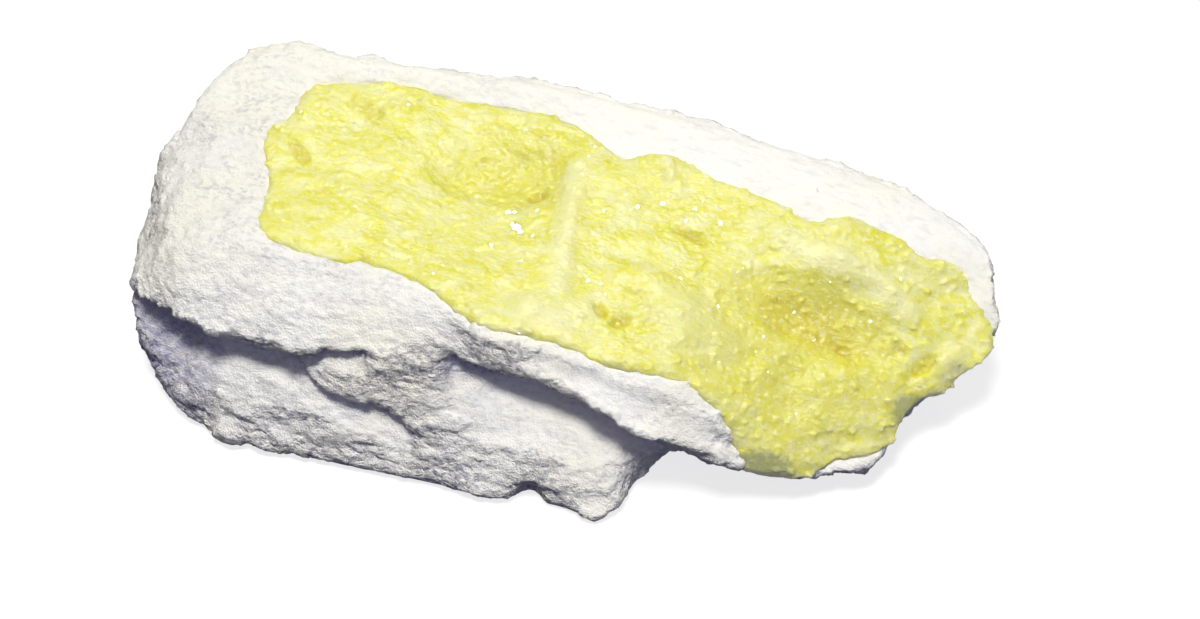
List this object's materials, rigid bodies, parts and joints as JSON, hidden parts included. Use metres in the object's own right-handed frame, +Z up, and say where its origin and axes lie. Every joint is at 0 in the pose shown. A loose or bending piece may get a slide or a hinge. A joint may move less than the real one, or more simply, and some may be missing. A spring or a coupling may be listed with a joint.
{
  "type": "native sulfur specimen",
  "caption": "Broken block of white chalky rock with a seam of granular yellow sulfur along its top and right end; lies on a flat break.",
  "frame": {"origin": "middle of the bounding box in X and Y, on the surface that the specimen lies on", "axes": "+X along the stone from its thick end to the sulfur-covered end, +Y towards the long back rim, +Z up"},
  "size_m": [0.1186, 0.055, 0.033],
  "materials": {
    "chalk_rock": "dry, chalky and matt, with a fine sandy grain",
    "sulfur": "granular lemon-yellow crystals with a resinous, glinting lustre"
  },
  "bodies": {
    "root": {"host_rock": "chalk_rock", "sulfur_seam": "sulfur"}
  },
  "joints": []
}
